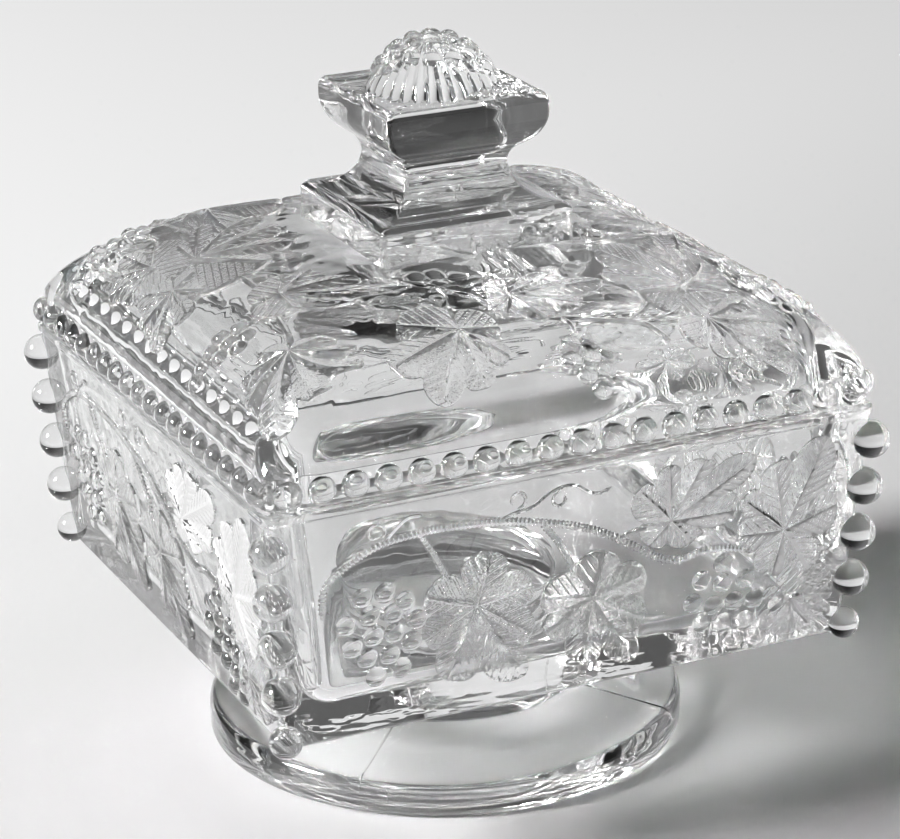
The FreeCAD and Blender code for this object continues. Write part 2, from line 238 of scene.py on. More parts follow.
def ball(centre: Vector, radius: float, around: int = 24) -> Solid:
    """Round bead of glass."""
    solid = bmesh.new()
    bmesh.ops.create_uvsphere(
        solid, u_segments=around, v_segments=around * 7 // 12, radius=radius,
        matrix=Matrix.Translation(centre),
    )
    return solid


def turned(solid: Solid, side: Side) -> Solid:
    """Copy of a front solid on another side of the square."""
    copy = solid.copy()
    quarter = Matrix.Rotation(side.value * math.pi / 2.0, 3, "Z")
    bmesh.ops.rotate(copy, cent=(0.0, 0.0, 0.0), matrix=quarter, verts=copy.verts)
    return copy


@dataclass(frozen=True)
class SquareSection:
    """One level outline of a square form with round corners."""

    half: float
    corner: float
    height: float

    SIDE_STOPS = (0.0, 0.03, 0.35, 0.65, 0.97)
    CORNER_STEPS = 9

    @classmethod
    def around(cls) -> int:
        """Number of points in an outline."""
        return 4 * (len(cls.SIDE_STOPS) + cls.CORNER_STEPS)

    def point(self, number: int) -> Vector:
        """Place of one point of the outline, counted round from the right side's start."""
        quarter, step = divmod(number, len(self.SIDE_STOPS) + self.CORNER_STEPS)
        straight = self.half - self.corner
        if step < len(self.SIDE_STOPS):
            place = Vector((self.half, straight * (2.0 * self.SIDE_STOPS[step] - 1.0), self.height))
        else:
            angle = (step - len(self.SIDE_STOPS)) / self.CORNER_STEPS * math.pi / 2.0
            place = Vector((
                straight + self.corner * math.cos(angle),
                straight + self.corner * math.sin(angle),
                self.height,
            ))
        place.rotate(Matrix.Rotation(quarter * math.pi / 2.0, 3, "Z"))
        return place

    def toward(self, other: "SquareSection", share: float) -> "SquareSection":
        """Section part of the way to another."""
        keep = 1.0 - share
        return SquareSection(
            self.half * keep + other.half * share,
            self.corner * keep + other.corner * share,
            self.height * keep + other.height * share,
        )

    def reach(self, other: "SquareSection") -> float:
        """Distance to another section up the middle of a side."""
        return math.hypot(other.half - self.half, other.height - self.height)


def soften(sections: Sequence[SquareSection], radius: float, steps: int = 3) -> list[SquareSection]:
    """Round the edges between sections of a moulding, as pressed glass leaves the mould.

    Args:
        sections: Sections in order up or round the moulding.
        radius: Distance from an edge at which its rounding starts.
        steps: Steps across a rounded edge.

    Returns:
        The sections with each inner one replaced by a rounded run.
    """
    result = [sections[0]]
    for before, edge, after in zip(sections, sections[1:], sections[2:]):
        back = min(radius / max(before.reach(edge), 1e-6), 0.45)
        ahead = min(radius / max(after.reach(edge), 1e-6), 0.45)
        start = edge.toward(before, back)
        end = edge.toward(after, ahead)
        for step in range(steps + 1):
            share = step / steps
            result.append(start.toward(edge, share).toward(edge.toward(end, share), share))
    result.append(sections[-1])
    return result


def moulding(sections: Sequence[SquareSection]) -> Solid:
    """Closed solid through square sections."""
    return skin_rings(
        len(sections), SquareSection.around(), lambda ring, number: sections[ring].point(number)
    )


class Surface(Protocol):
    """A face of the glass that relief is pressed on."""

    def at(self, u: float, v: float, lift: float) -> Vector:
        """Point above the face at its own two coordinates."""
        ...


@dataclass(frozen=True)
class LeaningPanel:
    """Front panel of the dish; u runs to the right and v is the height above the table."""

    bottom_half: float
    top_half: float
    bottom: float
    top: float

    def half(self, height: float) -> float:
        """Half the width of the dish at a height."""
        share = (height - self.bottom) / (self.top - self.bottom)
        return self.bottom_half + (self.top_half - self.bottom_half) * share

    def at(self, u: float, v: float, lift: float) -> Vector:
        """Point above the panel."""
        lean = (self.top_half - self.bottom_half) / (self.top - self.bottom)
        outward = Vector((0.0, -1.0, -lean)).normalized()
        return Vector((u, -self.half(v), v)) + outward * lift


@dataclass(frozen=True)
class PillowDome:
    """Square dome; u runs along a side and v is the distance up the middle of the side from the skirt."""

    half: float
    start: float
    rise: float
    corner: float
    top_corner: float
    side_power: float
    rise_power: float
    flat: float

    TABLE_STEPS = 400

    def section_at(self, angle: float) -> SquareSection:
        """Outline at an angle of the dome's side curve, from 0 at the skirt to a right angle at the top."""
        share = math.sin(angle) ** (2.0 / self.rise_power)
        half = self.half * max(math.cos(angle), 0.0) ** (2.0 / self.side_power)
        corner = min(self.corner + (self.top_corner - self.corner) * share, half - 1.0)
        return SquareSection(half, corner, self.start + self.rise * share)

    def last_angle(self) -> float:
        """Angle of the small flat at the top."""
        return math.acos((self.flat / 2.0 / self.half) ** (self.side_power / 2.0))

    def sections(self, count: int) -> list[SquareSection]:
        """Outlines from the skirt to the flat at the top."""
        return [self.section_at(self.last_angle() * step / (count - 1)) for step in range(count)]

    @cached_property
    def ladder(self) -> list[tuple[float, SquareSection]]:
        """Outlines with their distances up the middle of the side."""
        rungs = [(0.0, self.section_at(0.0))]
        for section in self.sections(self.TABLE_STEPS)[1:]:
            rungs.append((rungs[-1][0] + rungs[-1][1].reach(section), section))
        return rungs

    def section(self, distance: float) -> SquareSection:
        """Outline at a distance up the middle of the side."""
        low, high = 0, len(self.ladder) - 1
        while high - low > 1:
            middle = (low + high) // 2
            if self.ladder[middle][0] <= distance:
                low = middle
            else:
                high = middle
        below, section = self.ladder[low]
        above, following = self.ladder[high]
        return section.toward(following, (distance - below) / (above - below))

    def point(self, u: float, v: float) -> Vector:
        """Point on the front of the dome."""
        section = self.section(v)
        straight = section.half - section.corner
        over = min(max(abs(u) - straight, 0.0), section.corner)
        depth = straight + math.sqrt(section.corner ** 2 - over ** 2)
        return Vector((u, -depth, section.height))

    def at(self, u: float, v: float, lift: float) -> Vector:
        """Point above the front of the dome."""
        nudge = 0.05
        across = self.point(u + nudge, v) - self.point(u - nudge, v)
        upward = self.point(u, v + nudge) - self.point(u, v - nudge)
        return self.point(u, v) + across.cross(upward).normalized() * lift


@dataclass(frozen=True)
class RoundCrown:
    """Round crown, level where its radius is large; u and v run over it from its top, right and back."""

    centre: Vector
    radius: float

    def at(self, u: float, v: float, lift: float) -> Vector:
        """Point above the crown."""
        lean = math.hypot(u, v) / self.radius
        turn = math.atan2(v, u)
        away = Vector((math.sin(lean) * math.cos(turn), math.sin(lean) * math.sin(turn), math.cos(lean)))
        return self.centre + away * (self.radius + lift)


@dataclass(frozen=True)
class VineLeaf:
    """Lobed vine leaf in low relief, with raised main ribs and a stippled, finely ribbed field."""

    ribs_meet: Pair
    lobes: tuple[Pair, ...]
    proud: float = 0.6
    rib_height: float = 0.36
    rib_width: float = 0.42
    side_rib_pitch: float = 1.8
    side_rib_strength: float = 1.0
    notch: float = 0.3
    valley: float = 0.6
    sink: float = 0.9
    field: Skin = Skin.STIPPLED

    AROUND = 144
    RINGS = (0.0, 0.1, 0.2, 0.3, 0.4, 0.5, 0.6, 0.69, 0.77, 0.84, 0.9, 0.95, 0.98, 1.0)
    EDGE_SHARE = 0.93
    EDGE_LIFT = 0.7

    def spot(self, place: Pair) -> Vector:
        """Flat point of a place on the surface."""
        return Vector((*place, 0.0))

    def edge(self) -> list[tuple[float, float, float]]:
        """Angle and length of each ray of the leaf, and how far it lies from the tips beside it, 0 to 1."""
        tips = []
        for lobe in self.lobes:
            ray = self.spot(lobe) - self.spot(self.ribs_meet)
            tips.append((math.atan2(ray.y, ray.x), ray.length))
        tips.sort()
        tips.append((tips[0][0] + 2.0 * math.pi, tips[0][1]))
        rays = []
        for number, (tip, following) in enumerate(zip(tips, tips[1:])):
            gap = following[0] - tip[0]
            last = number == len(tips) - 2
            steps = self.AROUND - len(rays) if last else round(self.AROUND * gap / (2.0 * math.pi))
            depth = min(0.8, self.notch * (0.6 + 0.55 * gap))
            for step in range(steps):
                share = step / steps
                off_tip = 1.0 - abs(2.0 * share - 1.0)
                length = tip[1] + (following[1] - tip[1]) * smooth_step(share)
                hollow = 1.0 - depth * (1.0 - math.sqrt(1.0 - off_tip ** 2))
                rays.append((tip[0] + gap * share, length * hollow, off_tip))
        return rays

    def nearest_rib(self, spot: Vector) -> tuple[Pair, float, float]:
        """Lobe whose main rib is nearest to a spot, the distance to it and the share of its length there."""
        best = (self.lobes[0], 1e6, 0.0)
        for lobe in self.lobes:
            distance, share = distance_to_line(spot, self.spot(self.ribs_meet), self.spot(lobe))
            if distance < best[1]:
                best = (lobe, distance, share)
        return best

    def rib(self, spot: Vector) -> float:
        """How much of a spot is a main rib, from 0 to 1."""
        _, distance, share = self.nearest_rib(spot)
        return math.exp(-((distance / (self.rib_width * (1.2 - 0.6 * share))) ** 2)) * (1.0 - 0.4 * share)

    def side_ribs(self, spot: Vector, lobe: Pair) -> Pair:
        """Place of a spot in the pattern of the side ribs of one lobe: turns along it, and its strength."""
        along = self.spot(lobe) - self.spot(self.ribs_meet)
        reach = (spot - self.spot(self.ribs_meet)).dot(along.normalized())
        distance = (spot - self.spot(self.ribs_meet) - along.normalized() * reach).length
        return (reach - 0.9 * distance) / self.side_rib_pitch, self.side_rib_strength * min(1.0, distance)

    def solid(self, surface: Surface) -> Solid:
        """Closed solid of the leaf, sunk a little into the surface."""
        outline = [Vector((share, 0.0, 0.0)) for share in self.RINGS]
        outline += [Vector((share, 0.0, -1.0)) for share in (1.0, 0.6, 0.0)]
        solid = spin_round(outline, self.AROUND)
        rays = self.edge()
        spots, ribbed = {}, {}
        for vert in solid.verts:
            share = math.hypot(vert.co.x, vert.co.y)
            number = round(math.atan2(vert.co.y, vert.co.x) / (2.0 * math.pi) * self.AROUND) % self.AROUND
            angle, length, off_tip = rays[number]
            spot = self.spot(self.ribs_meet)
            spot += Vector((math.cos(angle), math.sin(angle), 0.0)) * (length * share)
            if vert.co.z < -0.5:
                lift = -self.sink
            else:
                rib = self.rib(spot)
                fall = max(0.0, (share - self.EDGE_SHARE) / (1.0 - self.EDGE_SHARE))
                plump = 1.0 - self.valley * off_tip ** 2 * share
                lift = self.proud * plump + self.rib_height * rib
                lift *= 1.0 - (1.0 - self.EDGE_LIFT) * fall * fall
                spots[vert], ribbed[vert] = spot, rib
            vert.co = surface.at(spot.x, spot.y, lift)
        lines = solid.loops.layers.uv.new(MOULD_LINES)
        for face in solid.faces:
            if not all(vert in spots for vert in face.verts):
                continue
            middle = sum((spots[vert] for vert in face.verts), Vector()) / len(face.verts)
            lobe = self.nearest_rib(middle)[0]
            for loop in face.loops:
                loop[lines].uv = self.side_ribs(spots[loop.vert], lobe)
            if all(ribbed[vert] < 0.5 for vert in face.verts):
                face.material_index = self.field.value
        bmesh.ops.recalc_face_normals(solid, faces=solid.faces)
        return solid


@dataclass(frozen=True)
class GrapeBunch:
    """Round grapes pressed half out of the surface."""

    grapes: tuple[Pair, ...]
    radius: float = 2.15
    proud: float = 1.15

    def solids(self, surface: Surface) -> list[Solid]:
        """One ball for each grape."""
        lift = self.proud - self.radius
        return [ball(surface.at(u, v, lift), self.radius, around=18) for u, v in self.grapes]


@dataclass(frozen=True)
class VineStem:
    """Stem or tendril that lies on the surface, roped where it is thick."""

    line: tuple[Pair, ...]
    width: float = 1.3
    proud: float = 0.55
    rope_pitch: float = 0.8
    rope_depth: float = 0.16

    AROUND = 8
    STEPS_IN_PITCH = 5
    SMOOTH_SPACING = 0.5

    def solid(self, surface: Surface) -> Solid:
        """Tube along the stem, sunk to half its thickness."""
        spacing = self.rope_pitch / self.STEPS_IN_PITCH if self.rope_depth else self.SMOOTH_SPACING
        line = flow(self.line, spacing)
        last = len(line) - 1
        lift = self.proud - self.width / 2.0
        spine = [surface.at(spot.x, spot.y, lift) for spot in line]
        away = [(surface.at(spot.x, spot.y, 1.0) - surface.at(spot.x, spot.y, 0.0)) for spot in line]
        end_steps = self.width / spacing

        def place(ring: int, number: int) -> Vector:
            """Place of one point of the tube's skin."""
            ahead = (spine[min(ring + 1, last)] - spine[max(ring - 1, 0)]).normalized()
            across = ahead.cross(away[ring]).normalized()
            angle = 2.0 * math.pi * number / self.AROUND
            lay = angle - 2.0 * math.pi * ring / self.STEPS_IN_PITCH
            taper = min(1.0, 0.35 + 0.65 * min(ring, last - ring) / end_steps)
            radius = self.width / 2.0 * taper * (1.0 + self.rope_depth * math.cos(lay))
            return spine[ring] + (across * math.cos(angle) + away[ring] * math.sin(angle)) * radius

        return skin_rings(len(line), self.AROUND, place)


@dataclass(frozen=True)
class VineRelief:
    """One face's share of the vine."""

    leaves: tuple[VineLeaf, ...]
    bunches: tuple[GrapeBunch, ...]
    stems: tuple[VineStem, ...]

    def solids(self, surface: Surface) -> list[Solid]:
        """All the relief of one face, on the front side."""
        made = [leaf.solid(surface) for leaf in self.leaves]
        for bunch in self.bunches:
            made += bunch.solids(surface)
        return made + [stem.solid(surface) for stem in self.stems]


def ring_curl(centre: Pair, radius: float, start: float, turns: float) -> tuple[Pair, ...]:
    """Points of a tendril's curl that opens as it goes round.

    Args:
        centre: Middle of the curl.
        radius: Radius at the curl's outer end.
        start: Angle of the outer end in degrees.
        turns: Turns that the curl makes.

    Returns:
        Points from the outer end inward.
    """
    steps = 9
    points = []
    for step in range(steps):
        share = step / (steps - 1)
        angle = math.radians(start) + 2.0 * math.pi * turns * share
        reach = radius * (1.0 - 0.35 * share)
        points.append((centre[0] + reach * math.cos(angle), centre[1] + reach * math.sin(angle)))
    return tuple(points)


TENDRIL = {"width": 0.7, "proud": 0.32, "rope_depth": 0.0}
SMOOTH_STEM = {"width": 1.2, "rope_depth": 0.0}
LEAF_STALK = {"width": 1.0, "rope_depth": 0.0}
SMALL_GRAPE = 1.95

PANEL_VINE = VineRelief(
    leaves=(
        VineLeaf((-19.0, 46.0), (
            (-16.0, 55.0), (-8.5, 47.5), (-8.5, 38.5), (-9.5, 31.0), (-24.0, 33.0), (-28.0, 41.5),
            (-28.0, 49.0),
        )),
        VineLeaf((2.5, 43.0), (
            (4.5, 51.0), (12.5, 45.5), (12.5, 37.0), (11.0, 29.5), (1.0, 31.0), (-6.0, 38.0), (-7.0, 44.5),
        )),
        VineLeaf((16.5, 54.5), (
            (32.5, 63.0), (22.5, 64.3), (16.0, 64.3), (10.5, 61.0), (12.5, 50.5), (21.0, 49.5), (29.0, 54.0),
        )),
        VineLeaf((38.5, 48.5), (
            (46.0, 64.3), (36.0, 61.0), (30.5, 55.5), (30.0, 49.0), (36.5, 39.9), (44.0, 39.1), (49.0, 51.5),
        )),
        VineLeaf((40.7, 35.2), ((49.3, 34.5), (49.0, 30.5), (45.5, 28.0), (41.0, 28.0)), notch=0.2),
    ),
    bunches=(
        GrapeBunch((
            (-39.0, 51.0), (-35.0, 51.2), (-31.4, 49.0), (-29.3, 45.2), (-33.5, 47.2), (-37.6, 47.5),
            (-41.8, 46.5), (-37.0, 43.7), (-33.2, 43.6), (-30.2, 41.5), (-40.6, 42.3), (-38.0, 40.0),
            (-34.0, 39.8), (-32.0, 37.0), (-36.4, 36.3),
        )),
        GrapeBunch((
            (27.5, 44.0), (23.5, 41.5), (27.6, 40.2), (32.0, 40.2), (22.0, 37.5), (26.0, 36.3), (30.0, 36.4),
            (34.0, 36.0), (38.0, 34.3), (24.0, 33.5), (28.2, 32.6), (32.3, 32.2), (36.3, 31.2), (30.5, 29.0),
            (34.8, 28.8),
        )),
    ),
    stems=(
        VineStem((
            (-46.0, 48.5), (-45.5, 54.0), (-42.0, 57.3), (-36.0, 60.0), (-29.0, 60.8), (-23.7, 60.8),
            (-14.7, 60.0), (-7.4, 58.4), (0.0, 56.2), (5.6, 53.6), (11.4, 49.9), (15.3, 47.4), (19.0, 46.4),
            (23.0, 47.2), (27.0, 47.0), (30.6, 46.2), (34.0, 45.0),
        ), width=1.5),
        VineStem(((7.3, 52.6), (9.7, 53.2), (13.0, 53.8)), width=1.2),
        VineStem(((-29.2, 60.6), (-27.0, 57.2), (-25.2, 54.0), (-23.0, 50.0)), width=1.2),
        VineStem(((-7.4, 58.4), (-4.5, 55.0), (-2.4, 51.5), (-0.5, 47.5)), width=1.2),
        VineStem(((-35.5, 60.0), (-33.4, 62.2), (-31.2, 63.8), (-28.6, 63.8)), **TENDRIL),
        VineStem(ring_curl((-36.8, 62.3), 1.7, -40.0, 0.85), **TENDRIL),
        VineStem((
            (-14.7, 60.2), (-12.0, 61.0), (-8.6, 61.6), (-6.6, 62.9), (-4.0, 64.0), (-1.2, 63.9), (1.4, 62.2),
            (3.4, 61.7), (5.6, 62.4),
        ), **TENDRIL),
        VineStem(ring_curl((-11.6, 63.2), 1.6, -90.0, 0.85), **TENDRIL),
        VineStem(ring_curl((-3.9, 61.9), 1.4, 90.0, 0.85), **TENDRIL),
    ),
)

FRONT_COVER_VINE = VineRelief(
    leaves=(
        VineLeaf((-15.0, 21.0), (
            (-8.0, 20.0), (-8.8, 13.8), (-15.0, 9.0), (-23.5, 7.3), (-29.0, 15.5), (-24.5, 24.5),
        )),
        VineLeaf((-3.0, 27.5), (
            (14.5, 27.5), (7.0, 32.2), (-1.5, 32.8), (-5.5, 23.0), (1.0, 20.3), (8.0, 22.4),
        )),
        VineLeaf((27.5, 14.5), (
            (40.5, 2.2), (39.5, 11.0), (36.0, 17.0), (31.0, 20.0), (24.0, 10.0), (29.0, 6.8), (34.0, 3.8),
        ), proud=0.9),
        VineLeaf((27.0, 22.5), (
            (18.0, 36.0), (15.5, 29.5), (19.0, 23.0), (31.5, 32.0), (36.0, 25.5),
        )),
    ),
    bunches=(
        GrapeBunch((
            (2.6, 14.6), (6.0, 14.4), (8.6, 12.2), (1.6, 11.4), (4.9, 11.3), (7.0, 8.9), (3.2, 8.3),
            (5.0, 5.5),
        ), radius=SMALL_GRAPE),
    ),
    stems=(
        VineStem((
            (-18.5, 37.5), (-14.0, 34.8), (-11.5, 31.8), (-8.9, 29.6), (-6.5, 26.0), (-2.5, 23.0),
            (2.5, 20.6), (5.0, 19.8), (9.7, 18.3), (14.7, 17.0), (17.0, 15.9), (18.4, 14.2), (20.0, 11.6),
        ), **SMOOTH_STEM),
        VineStem(((-13.0, 34.0), (-13.2, 29.6), (-14.5, 24.6), (-15.0, 21.5)), **LEAF_STALK),
        VineStem(((3.0, 20.5), (4.2, 18.8), (4.4, 16.4)), width=1.1, rope_depth=0.0),
        VineStem(((14.8, 17.2), (18.6, 19.4), (21.4, 22.8)), **LEAF_STALK),
        VineStem(((17.2, 16.2), (21.5, 16.8), (25.0, 18.4), (27.6, 21.0)), **LEAF_STALK),
        VineStem(((17.2, 16.2), (22.3, 15.3), (27.0, 14.6)), **LEAF_STALK),
    ),
)

LEFT_COVER_VINE = VineRelief(
    leaves=(
        VineLeaf((-7.5, 15.5), (
            (2.5, 5.8), (-6.5, 7.0), (-15.0, 11.0), (2.5, 13.5), (-1.0, 19.0), (-9.0, 20.5),
        )),
        VineLeaf((36.0, 18.5), (
            (51.0, 6.0), (47.0, 13.2), (44.5, 16.5), (41.0, 20.0), (36.0, 22.5), (41.0, 8.0), (34.0, 10.5),
            (31.0, 16.0),
        ), proud=1.0),
        VineLeaf((15.5, 26.5), (
            (27.0, 35.0), (19.0, 37.0), (11.0, 34.5), (8.5, 30.5), (23.5, 26.0), (27.5, 30.5),
        )),
        VineLeaf((-13.0, 22.5), (
            (-13.0, 38.5), (-22.0, 35.5), (-26.0, 28.5), (-22.0, 22.5), (1.0, 30.5), (-4.0, 37.0),
        )),
        VineLeaf((-20.0, 16.5), ((-30.0, 8.5), (-31.5, 15.0), (-28.0, 20.5), (-17.5, 8.5), (-24.0, 7.5))),
    ),
    bunches=(
        GrapeBunch((
            (17.6, 17.4), (21.6, 17.2), (16.0, 14.2), (19.6, 14.4), (23.0, 14.8), (17.4, 11.2), (21.0, 11.4),
            (18.8, 8.4), (20.0, 5.8),
        ), radius=SMALL_GRAPE),
        GrapeBunch((
            (-38.8, 5.6), (-36.2, 8.6), (-40.0, 9.0), (-37.8, 11.8), (-41.5, 12.4), (-34.4, 13.4),
            (-39.4, 15.2), (-36.0, 16.8), (-41.8, 16.6), (-38.4, 19.0),
        ), radius=SMALL_GRAPE, proud=1.3),
    ),
    stems=(
        VineStem((
            (-28.0, 21.5), (-20.0, 20.8), (-13.7, 20.4), (-5.2, 22.8), (1.0, 25.0), (9.0, 25.2), (16.0, 24.0),
            (24.0, 22.8), (30.0, 21.6), (35.5, 19.0),
        ), **SMOOTH_STEM),
        VineStem(((1.0, 25.0), (5.0, 28.5), (9.5, 30.0)), **LEAF_STALK),
        VineStem(((16.0, 24.0), (18.2, 21.5), (19.0, 18.5)), **LEAF_STALK),
        VineStem(((-28.0, 21.5), (-33.0, 20.5), (-36.5, 18.0)), **LEAF_STALK),
    ),
)


def pleat_tips(count: int, first_turn: float, turn_step: float, reach: float) -> tuple[Pair, ...]:
    """Tips of a pleated leaf on evenly turned rays; the turns are degrees."""
    turns = [math.radians(first_turn + turn_step * place) for place in range(count)]
    return tuple((reach * math.cos(turn), reach * math.sin(turn)) for turn in turns)


CROWN_LEAF = VineLeaf(
    (-1.6, -1.8), pleat_tips(15, 164.0, 11.3, 14.8),
    proud=0.5, rib_height=0.8, rib_width=0.55, side_rib_strength=0.0, notch=0.2, valley=0.9,
    field=Skin.FIRE_POLISHED,
)

CAP_LEAF = VineLeaf(
    (8.0, -5.5), (
        (2.5, -12.6), (8.0, -12.8), (13.0, -12.4), (13.2, -7.5), (13.2, -2.0), (12.6, 4.5), (8.5, 5.5),
        (3.0, -2.0),
    ),
    proud=1.1, rib_height=0.6, rib_width=0.6, side_rib_pitch=1.2, notch=0.4,
)


def press_together(
    name: str, body: Solid, parts: Sequence[Solid], skins: Sequence[bpy.types.Material]
) -> bpy.types.Object:
    """One closed skin of glass from a body and the parts pressed with it.

    Args:
        name: Name of the finished piece.
        body: Main solid of the piece.
        parts: Closed solids that overlap the body or each other.
        skins: Materials of the piece, in the order of the skins.

    Returns:
        The piece, in metres, with its place in its mesh.
    """
    def dressed(label: str, solid: Solid) -> bpy.types.Object:
        """Object of one solid with all the skins."""
        mesh = bpy.data.meshes.new(label)
        solid.to_mesh(mesh)
        solid.free()
        for skin in skins:
            mesh.materials.append(skin)
        return bpy.data.objects.new(label, mesh)

    scene = bpy.context.scene
    blank = dressed(name + "_blank", body)
    scene.collection.objects.link(blank)
    tools = bpy.data.collections.new(name + "_parts")
    scene.collection.children.link(tools)
    for number, part in enumerate(parts):
        tools.objects.link(dressed(f"{name}_part_{number}", part))
    union = blank.modifiers.new("press", "BOOLEAN")
    union.operation = "UNION"
    union.operand_type = "COLLECTION"
    union.collection = tools
    union.solver = "MANIFOLD"
    mesh = bpy.data.meshes.new_from_object(blank.evaluated_get(bpy.context.evaluated_depsgraph_get()))
    mesh.name = name
    mesh.transform(Matrix.Scale(METRES_PER_MM, 4))
    for tool in [blank, *tools.objects]:
        old = tool.data
        bpy.data.objects.remove(tool)
        bpy.data.meshes.remove(old)
    bpy.data.collections.remove(tools)
    mesh.shade_smooth()
    mesh.set_sharp_from_angle(angle=math.radians(SHARP_FROM))
    piece = bpy.data.objects.new(name, mesh)
    scene.collection.objects.link(piece)
    flats = piece.modifiers.new("keep_flats_flat", "WEIGHTED_NORMAL")
    flats.mode = "FACE_AREA"
    flats.keep_sharp = True
    return piece


@dataclass(frozen=True)
class FootedDish:
    """Square dish on a round hollow foot, with beaded corners and a vine on each panel."""

    rim_width: float = 111.0
    base_width: float = 104.2
    underside: float = 26.0
    wall_top: float = 66.6
    wall_corner: float = 2.0
    mouth_wall: float = 3.6
    floor_wall: float = 5.0
    floor_thickness: float = 4.2
    cavity_corner: float = 7.0
    cavity_floor_round: float = 6.5
    rim_band_height: float = 1.7
    rim_band_proud: float = 0.4
    bead_count: int = 5
    bead_diameter: float = 6.58
    lowest_bead_diameter: float = 5.6
    top_bead_drop: float = 4.6
    lowest_bead_rise: float = 1.7
    foot_diameter: float = 85.8
    foot_edge_height: float = 4.6
    foot_edge_round: float = 2.2
    foot_toe_round: float = 1.2
    foot_crown_diameter: float = 50.0
    foot_crown_height: float = 9.4
    waist_diameter: float = 38.0
    stem_top_diameter: float = 40.0
    foot_hollow_diameter: float = 73.0
    foot_hollow_height: float = 7.0
    edge_softness: float = 0.7
    stem_overlap: float = 2.0
    seam_width: float = 0.45
    seam_end: float = 1.6
    vine: VineRelief = PANEL_VINE

    @property
    def seat(self) -> float:
        """Height of the rim that the cover rests on."""
        return self.wall_top + self.rim_band_height

    def panel(self) -> LeaningPanel:
        """Front panel."""
        return LeaningPanel(self.base_width / 2.0, self.rim_width / 2.0, self.underside, self.wall_top)

    def walls(self) -> Solid:
        """Walls, rim band and cavity in one closed moulding."""
        panel = self.panel()
        floor = self.underside + self.floor_thickness
        floor_half = panel.half(floor) - self.floor_wall
        mouth_half = self.rim_width / 2.0 - self.mouth_wall
        band_half = self.rim_width / 2.0 + self.rim_band_proud
        band_corner = self.wall_corner + self.rim_band_proud
        outside = [
            SquareSection(panel.bottom_half * 0.6, self.wall_corner, self.underside),
            SquareSection(panel.bottom_half, self.wall_corner, self.underside),
            SquareSection(panel.top_half, self.wall_corner, self.wall_top),
            SquareSection(band_half, band_corner, self.wall_top),
            SquareSection(band_half, band_corner, self.seat),
            SquareSection(mouth_half, self.cavity_corner, self.seat),
            SquareSection(floor_half, self.cavity_corner, floor + self.cavity_floor_round),
        ]
        sections = soften(outside, self.edge_softness)
        steps = 8
        for step in range(steps + 1):
            angle = math.pi / 2.0 * step / steps
            inset = self.cavity_floor_round * (1.0 - math.cos(angle))
            height = floor + self.cavity_floor_round * (1.0 - math.sin(angle))
            sections.append(SquareSection(floor_half - inset, self.cavity_corner - inset, height))
        return moulding(sections)

    def foot_outline(self) -> list[Vector]:
        """Outside of the foot from the top of the stem to the table."""
        foot = self.foot_diameter / 2.0
        stem_top = Vector((self.stem_top_diameter / 2.0, 0.0, self.underside))
        crown = Vector((self.foot_crown_diameter / 2.0, 0.0, self.foot_crown_height))
        waist = Vector((self.waist_diameter / 2.0, 0.0, (self.underside + self.foot_crown_height) / 2.0))
        diagonal = math.sqrt(0.5)
        edge = self.foot_edge_round
        toe = self.foot_toe_round
        shoulder = Vector((foot - edge, 0.0, self.foot_edge_height + edge))
        shoulder_middle = shoulder + Vector((edge * diagonal, 0.0, -edge * (1.0 - diagonal)))
        toe_end = Vector((foot - toe, 0.0, 0.0))
        toe_middle = toe_end + Vector((toe * diagonal, 0.0, toe * (1.0 - diagonal)))
        outline = arc(stem_top, waist, crown, 14)
        outline += [crown.lerp(shoulder, share) for share in (0.08, 0.5, 0.95)]
        outline += arc(shoulder, shoulder_middle, Vector((foot, 0.0, self.foot_edge_height)), 7)
        outline += arc(Vector((foot, 0.0, toe)), toe_middle, toe_end, 5)
        return outline

    def foot(self) -> Solid:
        """Round foot with a spool stem, hollow underneath."""
        hollow_edge = Vector((self.foot_hollow_diameter / 2.0, 0.0, 0.0))
        hollow_top = Vector((0.0, 0.0, self.foot_hollow_height))
        ball_radius = (hollow_edge.x ** 2 + self.foot_hollow_height ** 2) / (2.0 * self.foot_hollow_height)
        half_reach = hollow_edge.x / 2.0
        drop = ball_radius - math.sqrt(ball_radius ** 2 - half_reach ** 2)
        hollow_middle = Vector((half_reach, 0.0, self.foot_hollow_height - drop))
        root = self.underside + self.stem_overlap
        outline = [Vector((0.0, 0.0, root)), Vector((self.stem_top_diameter / 2.0, 0.0, root))]
        outline += self.foot_outline()
        outline += arc(hollow_edge, hollow_middle, hollow_top, 14)
        return spin_round(outline, 112)

    def mould_seam(self) -> Solid:
        """Thin seam that a joint of the mould leaves down the foot, under one corner."""
        around = 6
        spine = [point for point in self.foot_outline() if point.z > self.seam_end]
        corner = Matrix.Rotation(-math.pi / 4.0, 3, "Z")

        def place(ring: int, number: int) -> Vector:
            """Place of one point of the seam's skin."""
            ahead = (spine[min(ring + 1, len(spine) - 1)] - spine[max(ring - 1, 0)]).normalized()
            outward = ahead.cross(Vector((0.0, 1.0, 0.0)))
            angle = 2.0 * math.pi * number / around
            off = outward * math.cos(angle) + Vector((0.0, 1.0, 0.0)) * math.sin(angle)
            return corner @ (spine[ring] + off * (self.seam_width / 2.0))

        return skin_rings(len(spine), around, place)

    def corner_beads(self) -> Solid:
        """Column of beads on one upright edge."""
        panel = self.panel()
        top = self.wall_top - self.top_bead_drop
        lowest = self.underside + self.lowest_bead_rise
        beads = bmesh.new()
        for place in range(self.bead_count):
            height = lowest + (top - lowest) * place / (self.bead_count - 1)
            half = panel.half(height)
            diameter = self.bead_diameter if place else self.lowest_bead_diameter
            bmesh.ops.create_uvsphere(
                beads, u_segments=32, v_segments=20, radius=diameter / 2.0,
                matrix=Matrix.Translation((half, -half, height)),
            )
        return beads

